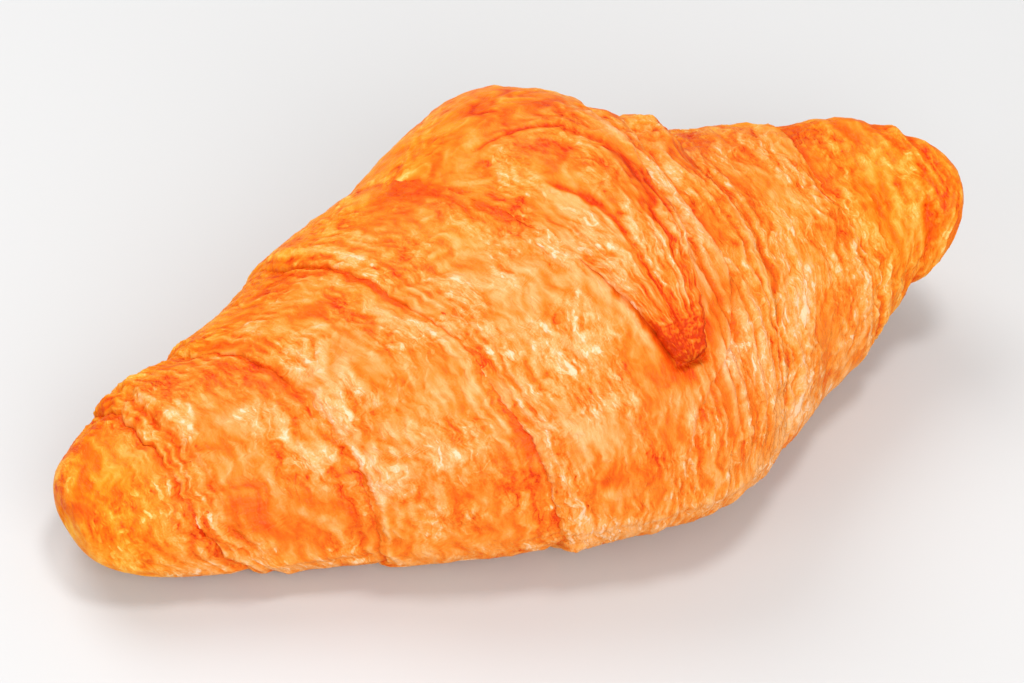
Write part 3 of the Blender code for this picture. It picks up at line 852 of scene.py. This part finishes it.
def makeTurn(turn):
    # one turn's skin: the plain roll raised by the steps and the fine relief, with its browning, painted
    # shade and painted highlights
    girth, lineLeft, lineRight, place, x, drop, band = turnGrid(turn)
    turned = fromTop(girth)
    u = (x - lineLeft) / (lineRight - lineLeft)
    plain = section(x, girth)
    flow = plain.copy()    # the roll's own coordinates, with x counted along the turn's edges
    flow[..., 0] = x - (lineLeft - lineLeft.mean()) * (1 - u) - (lineRight - lineRight.mean()) * u
    gaps = {name: edges[name]["side"] * (x - line) for name, line in place.items()}
    near = sum(hump(gap, 0, 6.0) for gap in gaps.values())
    near = near + 0.7 * sum(hump(x, edgePlace(name, girth), 4.0) for name in softFolds)
    # the oven's browning, with painted highlights and painted light over shadowed places in some patches
    browningAndLight = ellipses(browningAndLightPatches, x, girth)
    # crease: painted shade in the fine relief's creases, less its crests' paleness, partly painted
    # highlight
    detail, crease, crinkle = skinDetail(flow, turn["seed"], np.minimum(near, 1.2), browningAndLight)
    under = np.clip(rising(turned, 205, 12) + rising(turned, -32, -12), 0, 1)
    tipFade = smooth((halfLength - np.abs(x)) / 6.0)
    calm = 1 - 0.40 * rising(turned, 84, -40) - 0.35 * rising(turned, 178, 18)
    detail = detail * (calm - 0.45 * under) * (0.25 + 0.75 * tipFade)
    ridgesHere, ridges = layeredRidges(turn, x, girth, flow)
    detail = detail * (1 - 0.45 * ridgesHere) + layered["height"] * ridges
    total = turnHeight(turn, x, girth) * (0.2 + 0.8 * tipFade) - drop + detail
    # painted shade in the hollows of the fine relief, and painted light on its humps
    hollowShading = np.clip((blurred(detail, 3) - detail) / turnLook["hollowDepth"], -1, 1)
    tone = (turnLook["tone"] + strokes(flow, turn["seed"]) + turnLook["hollowShading"] * hollowShading
            + turnLook["crease"] * crease + browningAndLight + turnLook["under"] * under
            + stepTones(x, girth, flow, gaps, turn["seed"]) - layered["tone"] * ridges)
    if turn["name"] == "middle":
        # the tone along the tongue holds painted shade and a painted shadow
        height, shade = besideTongue(x, girth)
        total, tone = total + height, tone + shade
    points = plain + outward(x, girth) * total[..., None]
    floor = 0.3 * turn["level"]     # flattened on the tray, each turn a little over the next
    low = points[..., 2] < floor
    points[..., 2] = np.where(low, floor + 0.02 * (points[..., 2] - floor), points[..., 2])
    # glowAndSheen: painted glow at the rims and painted sheen over the middle
    values = {"flow": flow, "tone": softened(tone), "band": band, "crinkle": crinkle,
              "glowAndSheen": rimGlowAndSheen(x, turned)}
    caps = []     # rings that close a turn's hidden ends
    for where, hidden in ((0, turn["left"]), (-1, turn["right"])):
        shares = np.array((0.0, 0.45, 0.8) if where == 0 else (0.8, 0.45, 0.0))[:, None, None]
        middle = points[where].mean(0)
        caps.append(middle + (points[where] - middle) * shares if hidden else points[:0])

    def withCaps(field):
        return np.concatenate([np.repeat(field[:1], len(caps[0]), 0), field,
                               np.repeat(field[-1:], len(caps[1]), 0)])

    return meshFromRings(turn["name"], np.concatenate((caps[0], points, caps[1])),
                         {key: withCaps(value) for key, value in values.items()})


# Browning on the tongue, as for the turns; some paler patches are painted highlights, and the browner ones
# along its end's left edge painted shade.
tongueBrowningAndLightPatches = (
    (3, 80, 2.6, 4, -0.26), (5, 87, 2.4, 3.5, -0.30), (6.4, 93, 2.0, 4, -0.26),
    (7.4, 99, 1.6, 5, -0.22), (-1, 84, 2.2, 2.2, 0.18), (1, 88.5, 1.8, 2.4, 0.16),
    (2.6, 93, 1.6, 2.4, 0.10), (14, 108, 2.2, 6, -0.20), (10, 138, 1.8, 4, 0.26),
    (15, 131, 2.0, 5, -0.26), (14, 126, 1.6, 4, -0.12), (13.8, 116, 1.8, 6, -0.28),
    (15.2, 126, 1.8, 4, -0.14), (12.4, 122, 0.8, 5, -0.12), (5.6, 72, 3.2, 3.0, 0.20),
    (10.6, 74, 3.6, 3.0, 0.24), (15.4, 78, 2.8, 3.6, 0.24), (19.0, 86, 2.0, 4.5, 0.20),
    (19.7, 95, 1.4, 5, 0.16), (7.5, 112, 2.0, 8, -0.06), (4.6, 103, 1.8, 7, -0.14),
    (12.2, 124, 2, 5, -0.08), (12, 91, 2.6, 5, 0.20), (8.4, 89, 1.6, 4, 0.20), (12, 66, 7, 3.5, 0.10),
    (8, 79, 3, 2.5, 0.16), (15.4, 94, 2.0, 5, 0.16), (-5, 60, 5, 10, -0.06), (18, 60, 8, 6, 0.10),
    (16.5, 62, 4, 4, 0.12), (-1, 62, 6, 5, 0.10), (7, 55, 5, 6, 0.34), (3, 69, 3, 3, -0.22),
    (2.8, 106, 0.9, 6, 0.20), (-7, 61, 4, 5, 0.20), (24.5, 92, 1.5, 8, -0.14), (6.7, 79, 2.5, 3, 0.14),
    (9.2, 82, 2.5, 3, 0.14), (7.6, 59, 3, 5, 0.14), (16, 67, 3, 4, 0.14), (22, 68, 2.5, 4, -0.16),
    (21, 82, 2, 4, -0.14), (13.8, 106, 1.4, 6, -0.20), (17.2, 111, 1.2, 5, -0.16), (8, 93, 2, 3, -0.12),
)


tongueShape = {
    "steep": (100, 25),       # girth angles where its sides turn from soft to steep
    # Shares of the rise at the left edge and on to the crest, each with what steep sides add;
    # then the rest of it, right of the crest, and the width of that step in mm.
    "wall": (0.18, 0.24, 0.50, -0.22),
    "crestStep": (0.32, 3.0),
    "endHeight": 0.30,        # share of the height that is left at the rounded end
    "flowWidth": 11.0,        # flow counted from the middle to an edge, mm
    "knuckled": (127, 10),    # girth angles where it turns knobbly
    "grooves": (0.34, 0.85, 16.0),       # height, across and along, mm
    "groovesFrom": (80, 15),
    "rootCrease": (0.45, 0.8),           # along its edges at the root: depth, width in mm
}
tongueLook = {
    "tone": 0.51,
    # painted shade in the hollows and creases; the humps and crests paler, partly painted highlight
    "hollowShading": 0.12,
    "crease": 0.16,
    "lower": (0.14, 112, 30),            # browner from that girth angle on, over so many degrees
    # How brown its knobbly end is, how much more so in the creases, which is painted shade, and their
    # width, and how the knobs' tops get paler over which height, partly paler dough and partly painted
    # highlight.
    "knuckles": (0.24, 0.50, 0.10, -0.5, 0.3),
    "stripes": (0.12, 0.9, 14.0, 3.0),   # strength, across and along in mm, firmness
    "rightEdge": (0.40, 1.2, 116, 8),    # brown edges: strength, width, girth angle, over
    "leftEdge": (0.20, 1.0, 123, 10),
    "leftRoot": (0.20, 1.6, 100, -10),
    "darkest": 1.06,
}


def makeTongue():
    # the tongue's skin: its top over the middle turn's, its underside sunk into that turn
    middle = next(turn for turn in turns if turn["name"] == "middle")
    count = int(tongue["length"] / tongue["rowGap"])
    share = np.arange(count + 1)[:, None] / count
    girth = tongue["start"] + (tongue["end"] - tongue["start"]) * share
    rounding = np.clip(1 - (tongue["end"] - girth) / tongue["noseLength"], 0, 1)
    narrow = np.sqrt(1 - rounding**2)
    left, right = tongueLines(girth)
    half = (right - left) / 2 * narrow
    top = -np.cos(np.pi * np.linspace(0, 1, tongue["topColumns"]))
    bottom = np.linspace(1, -1, tongue["underColumns"] + 2)[1:-1]
    across = np.concatenate((top, bottom))
    x = (left + right) / 2 + half * across
    plain = section(x, girth)
    flow = plain.copy()
    flow[..., 0] = across * tongueShape["flowWidth"]
    fromLeft, fromRight = half * (1 + across), half * (1 - across)

    steep = rising(girth, *tongueShape["steep"])
    knobbly = rising(girth, *tongueShape["knuckled"])

    def shoulder(gap, band):
        # a soft S at the tongue's root, a round shoulder towards its end
        inward = np.clip(gap / np.maximum(np.minimum(band, half * 0.9), 0.01), 0, 1)
        return smooth(inward) * (1 - steep) + np.sqrt(1 - (1 - inward) ** 2) * steep

    lines = {name: through(line["places"], girth) + wander(girth, line["seed"], line["wander"])
             for name, line in tongueCreases.items()}
    slope = np.clip(fromLeft / np.maximum(lines["crest"] - left, 0.5), 0, 1)
    low, moreLow, high, moreHigh = tongueShape["wall"]
    step, stepWidth = tongueShape["crestStep"]
    profile = shoulder(fromLeft, through(tongue["leftBand"], girth))
    profile = profile * (low + moreLow * steep + (high + moreHigh * steep) * slope)
    profile = profile + step * rising(x, lines["crest"], stepWidth)
    profile = profile * shoulder(fromRight, through(tongue["rightBand"], girth))
    profile = profile * (tongueShape["endHeight"] + (1 - tongueShape["endHeight"]) * narrow)

    grooveHeight, *grooveSize = tongueShape["grooves"]
    grooves = grooveHeight * noise(along(flow, *grooveSize), 331) * (1 - 0.7 * knobbly)
    grooves = grooves * (0.3 + 0.7 * rising(girth, *tongueShape["groovesFrom"]))
    buckled = swayed(flow, 2.6, 0.5, 335)
    knuckle = np.abs(noise(along(buckled, 22.0, 1.15), 338))
    knuckle = np.minimum(knuckle, 0.12 + np.abs(noise(along(buckled, 12.0, 0.7), 339)))
    on = {name: hump(x, lines[name], line["width"]) * rising(girth, line["from"], 7)
          * rising(girth, line["to"], -7) for name, line in tongueCreases.items()}
    # the oven's browning, with painted highlights and painted shade in some patches
    browningAndLight = ellipses(tongueBrowningAndLightPatches, x, girth)
    # crease: painted shade in the fine relief's creases, less its crests' paleness, partly painted
    # highlight
    detail, crease, crinkle = skinDetail(flow, 341, np.zeros_like(x), browningAndLight)
    detail = (detail * (0.7 - 0.4 * knobbly) + grooves + 0.9 * (knuckle - 0.2) * knobbly
              + sum(line["height"] * on[name] for name, line in tongueCreases.items()))
    rootDepth, rootWidth = tongueShape["rootCrease"]
    root = rootDepth * (1 - steep) * np.exp(-np.minimum(fromLeft, fromRight) / rootWidth)
    over = through(tongue["rise"], girth) * profile + detail * smooth(profile / 0.5) - root
    isTop = np.arange(len(across)) < len(top)
    total = turnHeight(middle, x, girth) + np.where(isTop, over, -tongue["sunk"])
    points = plain + outward(x, girth) * total[..., None]
    points[..., 2] = np.maximum(points[..., 2], tongue["lowest"])

    def edgeTone(gap, name):
        strength, width, place, length = tongueLook[name]
        return strength * hump(gap, 0, width) * rising(girth, place, length)

    # painted shade in the hollows of the fine relief, and painted light on its humps
    hollowShading = np.clip((blurred(detail, 2) - detail) / turnLook["hollowDepth"], -1, 1)
    strength, *stripeSize, firmness = tongueLook["stripes"]
    stripes = np.tanh(firmness * noise(along(flow, *stripeSize), 359)) * rising(girth, 84, 20)
    lower, place, length = tongueLook["lower"]
    brown, knuckleCreaseShade, thin, knuckleTopPaleAndHighlight, high = tongueLook["knuckles"]
    # painted shade in the knobs' creases and painted highlights on their tops, partly paler dough
    tone = (tongueLook["tone"] + strokes(flow, 353) * (1 - 0.5 * knobbly) + browningAndLight
            + tongueLook["hollowShading"] * hollowShading + tongueLook["crease"] * crease
            + lower * rising(girth, place, length) + strength * stripes * (1 - knobbly)
            + knobbly * (brown + knuckleCreaseShade * hump(knuckle, 0, thin) + knuckleTopPaleAndHighlight * np.maximum(knuckle - high, 0))
            + sum(line["tone"] * on[name] for name, line in tongueCreases.items())
            + edgeTone(fromRight, "rightEdge") + edgeTone(fromLeft, "leftEdge")
            + edgeTone(fromLeft, "leftRoot") * rising(girth, 50, 15))
    # glowAndSheen: painted glow at the rims and painted sheen over the middle
    return meshFromRings("tongue", points, {
        "flow": flow, "tone": softened(tone, tongueLook["darkest"]), "band": 0 * x,
        "crinkle": crinkle * (1 - knobbly), "glowAndSheen": rimGlowAndSheen(x, girth)})


crustLook = {
    "tones": ((0.00, (0.84, 0.510, 0.300)), (0.12, (0.81, 0.400, 0.160)), (0.22, (0.79, 0.330, 0.090)),
              (0.36, (0.77, 0.255, 0.040)), (0.50, (0.75, 0.205, 0.018)), (0.65, (0.73, 0.156, 0.0095)),
              (0.83, (0.68, 0.100, 0.0050)), (0.95, (0.64, 0.053, 0.0026)), (1.00, (0.56, 0.034, 0.0018))),
    "rimGlowBlue": 0.36,    # share of the blue that is left where the painted rim glow makes it golden
    "sheenBlue": 0.022,   # blue that is added where painted sheen makes it milky
    "roughness": (0.36, 0.54),
    "cutRoughness": 0.15,    # more of it on the cuts
    "bump": 0.00026,         # m
    "bumpStrength": 0.9,
    "shader": {"Specular IOR Level": 0.03, "Specular Tint": (1.0, 0.72, 0.40, 1),
               "Coat Weight": 0.04, "Coat Roughness": 0.24, "Coat IOR": 2.2},
}


# Fine marks in the crust. size: across the turns and along them in mm; apart: where in the noise
# it is taken; bend in mm; tone: how much browner; height: share in the bump. A patch is where a
# mark shows: size and place of a broad noise, and the part of it that turns the mark on.
# The raised flecks and worms are paler, partly paler dough and partly painted highlight; the sunk cracks
# are darker, partly browner crust and partly painted shade in them.
marks = {
    "fine": {"size": (0.55, 1.5), "detail": 2.0, "tone": 0.55, "height": 1.0},
    "streak": {"size": (0.35, 2.0), "detail": 1.0, "tone": 0.20, "height": 0.40},
    "speckle": {"size": (0.28, 0.34), "detail": 1.0, "tone": 0.34, "height": 0.35},
    "fleck": {"size": (0.90, 2.2), "detail": 0.5, "apart": 5.0, "bend": 3.0, "cut": (0.585, 0.64),
              "tone": -0.24, "height": 0.30, "patch": ((4.0, 6.0), 9.0, 0.45, 0.58, 0.15, 1.0)},
    "worm": {"size": (1.7, 4.2), "apart": 83.0, "bend": 6.0, "thin": 0.07,
             "tone": -0.18, "height": 0.15, "patch": ((3.5, 5.0), 31.0, 0.50, 0.62)},
    "crack": {"size": (1.6, 6.5), "apart": 11.0, "bend": 2.5, "thin": 0.05,
              "tone": 0.16, "height": -0.12, "patch": ((5.0, 8.0), 17.0, 0.45, 0.62)},
    "thinCrack": {"size": (0.8, 4.0), "apart": 47.0, "bend": 2.5, "thin": 0.09,
                  "tone": 0.15, "height": -0.10, "patch": ((4.0, 6.0), 23.0, 0.48, 0.62)},
}


def crustMaterial():
    material = bpy.data.materials.new("baked_crust")
    material.use_nodes = True
    tree = material.node_tree
    nodes, links = tree.nodes, tree.links
    shader = nodes["Principled BSDF"]

    def node(kind, inputs=(), **settings):
        made = nodes.new(kind)
        for key, value in settings.items():
            setattr(made, key, value)
        for key, value in dict(inputs).items():
            if hasattr(value, "links"):
                links.new(value, made.inputs[key])
            else:
                made.inputs[key].default_value = value
        return made

    def maths(operation, a, b, c=0.0):
        return node("ShaderNodeMath", {0: a, 1: b, 2: c}, operation=operation).outputs[0]

    def scaled(vector, scale, shift):
        # vector * scale + shift
        return node("ShaderNodeVectorMath", {0: vector, 1: scale, 2: shift},
                    operation="MULTIPLY_ADD").outputs[0]

    def plus(a, b, share):
        # a + b * share
        return maths("MULTIPLY_ADD", b, share, a)

    def attribute(name, output="Fac"):
        return node("ShaderNodeAttribute", attribute_name=name).outputs[output]

    def between(value, low, high, atLow=0.0, atHigh=1.0):
        # a soft step from low to high
        ends = {"From Min": low, "From Max": high, "To Min": atLow, "To Max": atHigh}
        return node("ShaderNodeMapRange", {"Value": value, **ends},
                    interpolation_type="SMOOTHSTEP").outputs[0]

    flow = attribute("flow", "Vector")
    slow = scaled(flow, (0.22, 0.22, 0.22), (0, 0, 0))
    sway = node("ShaderNodeTexNoise", {"Vector": slow, "Scale": 1.0, "Detail": 1.0}).outputs["Color"]

    def grain(size, detail, apart, bend=0.0):
        # noise stretched along the turns; sizes and bending in mm
        across, length = size
        place = scaled(sway, (bend, bend, bend), flow) if bend else flow
        place = scaled(place, (1 / across, 1 / length, 1 / length), (apart, 0, 0))
        return node("ShaderNodeTexNoise", {"Vector": place, "Scale": 1.0, "Detail": detail,
                                           "Roughness": 0.6}).outputs["Fac"]

    def drawn(kind):
        # plain noise, thin lines where it crosses its middle, or flecks where it is high
        value = grain(kind["size"], *(kind.get(key, 0.0) for key in ("detail", "apart", "bend")))
        if "thin" in kind:
            off = maths("ABSOLUTE", maths("SUBTRACT", value, 0.5), 0.0)
            value = between(off, 0.0, kind["thin"], 1.0, 0.0)
        if "cut" in kind:
            value = between(value, *kind["cut"])
        if "patch" in kind:
            size, apart, *limits = kind["patch"]
            value = maths("MULTIPLY", value, between(grain(size, 1.0, apart), *limits))
        return value

    tone, band, crinkle = attribute("tone"), attribute("band"), attribute("crinkle")
    mark = {name: drawn(kind) for name, kind in marks.items()}
    # the flecks' and worms' paleness, partly painted highlight, and the cracks' darkness, partly painted
    # shade, go into the tone
    marked = maths("MULTIPLY", mark["fleck"], marks["fleck"]["tone"])
    for name in ("worm", "crack", "thinCrack"):
        marked = plus(marked, mark[name], marks[name]["tone"])
    for name in ("fine", "speckle"):
        marked = plus(marked, maths("SUBTRACT", mark[name], 0.5), marks[name]["tone"])
    patchy = maths("MULTIPLY_ADD", crinkle, 0.75, 0.25)
    shade = maths("MULTIPLY_ADD", marked, patchy, tone)
    shade = plus(shade, maths("SUBTRACT", mark["streak"], 0.5), marks["streak"]["tone"])
    ramp = node("ShaderNodeValToRGB", {"Fac": shade})
    stops = ramp.color_ramp.elements
    for n, (place, colour) in enumerate(crustLook["tones"]):
        stop = stops[n] if n < 2 else stops.new(place)
        stop.position = place
        stop.color = (*colour, 1)
    ramp.color_ramp.interpolation = "LINEAR"
    parts = node("ShaderNodeSeparateColor", {"Color": ramp.outputs["Color"]}).outputs
    # painted glow at the rims takes blue out, painted sheen over the middle adds it
    glowAndSheen = attribute("glowAndSheen")
    glowBlueShare = maths("POWER", crustLook["rimGlowBlue"], maths("MAXIMUM", glowAndSheen, 0.0))
    paintedSheen = maths("MULTIPLY", maths("MINIMUM", glowAndSheen, 0.0),
                 between(shade, 0.30, 0.70, -crustLook["sheenBlue"], 0.0))
    colour = node("ShaderNodeCombineColor", {"Red": parts["Red"], "Green": parts["Green"],
                                             "Blue": maths("MULTIPLY_ADD", parts["Blue"], glowBlueShare, paintedSheen)})
    links.new(colour.outputs["Color"], shader.inputs["Base Color"])
    low, high = crustLook["roughness"]
    rough = maths("MULTIPLY_ADD", mark["fine"], high - low, low)
    links.new(plus(rough, band, crustLook["cutRoughness"]), shader.inputs["Roughness"])
    for socket, value in crustLook["shader"].items():
        shader.inputs[socket].default_value = value
    height = mark["fine"]
    for name in ("streak", "speckle", "fleck", "worm", "crack", "thinCrack"):
        height = plus(height, mark[name], marks[name]["height"])
    bump = node("ShaderNodeBump", {"Height": height, "Distance": crustLook["bump"],
                                   "Strength": crustLook["bumpStrength"]})
    links.new(bump.outputs["Normal"], shader.inputs["Normal"])
    links.new(bump.outputs["Normal"], shader.inputs["Coat Normal"])
    return material


crust = crustMaterial()
pieces = [makeTurn(turn) for turn in turns] + [makeTongue()]
for piece in pieces:
    piece.data.materials.append(crust)
    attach(piece, "root")
    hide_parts("croissant")
print("stage: crust finished")

studio = {
    "floorColour": (0.535, 0.535, 0.535, 1),
    "floorRoughness": 0.5,
    "floorHalf": 3,        # m
    "worldStrength": 0.575,
    # place and size in m, power in W; the gloss is for the shine on the crown
    "lights": {
        "key": ((-0.10, 0.75, 0.95), 0.8, 6.9),
        "fill": ((-0.15, -0.9, 0.55), 0.9, 9.4),
        "side": ((-1.0, 0.0, 0.45), 0.6, 2.6),
        "gloss": ((0.12, -0.08, 1.0), 0.22, 3.4),
    },
    "aim": (0, 0, 0.02),
}

floorMesh = bpy.data.meshes.new("floor")
floorMesh.from_pydata([(x * studio["floorHalf"], y * studio["floorHalf"], 0)
                       for x, y in ((-1, -1), (1, -1), (1, 1), (-1, 1))], [], [(0, 1, 2, 3)])
floor = bpy.data.objects.new("floor", floorMesh)
bpy.context.scene.collection.objects.link(floor)
floorMaterial = bpy.data.materials.new("floor")
floorMaterial.use_nodes = True
floorShader = floorMaterial.node_tree.nodes["Principled BSDF"]
floorShader.inputs["Base Color"].default_value = studio["floorColour"]
floorShader.inputs["Roughness"].default_value = studio["floorRoughness"]
floorMesh.materials.append(floorMaterial)

world = bpy.data.worlds.new("studio")
bpy.context.scene.world = world
world.use_nodes = True
background = world.node_tree.nodes["Background"]
background.inputs["Color"].default_value = (1.0, 1.0, 1.0, 1)
background.inputs["Strength"].default_value = studio["worldStrength"]

for name, (place, size, power) in studio["lights"].items():
    light = bpy.data.lights.new(name, "AREA")
    light.shape = "DISK"
    light.size = size
    light.energy = power
    lamp = bpy.data.objects.new(name, light)
    bpy.context.scene.collection.objects.link(lamp)
    lamp.location = place
    lamp.rotation_mode = "QUATERNION"
    lamp.rotation_quaternion = (Vector(studio["aim"]) - Vector(place)).to_track_quat("-Z", "Y")
print("stage: studio finished")

shot = {"azimuth": -29.53, "elevation": 45.0, "distance": 0.65, "lens": 134.3, "sensor": 36,
        "aim": (-0.0029, -0.00422, 0.025)}
camera = bpy.data.objects.new("camera", bpy.data.cameras.new("camera"))
bpy.context.scene.collection.objects.link(camera)
camera.data.lens = shot["lens"]
camera.data.sensor_width = shot["sensor"]
camera.data.clip_start = 0.01
camera.data.dof.use_dof = False
turnAngle, tilt = math.radians(shot["azimuth"]), math.radians(shot["elevation"])
back = Vector((math.sin(turnAngle) * math.cos(tilt), -math.cos(turnAngle) * math.cos(tilt),
               math.sin(tilt)))
camera.location = Vector(shot["aim"]) + back * shot["distance"]
camera.rotation_mode = "QUATERNION"
camera.rotation_quaternion = (-back).to_track_quat("-Z", "Y")
bpy.context.scene.camera = camera
bpy.context.scene.view_settings.view_transform = "Standard"
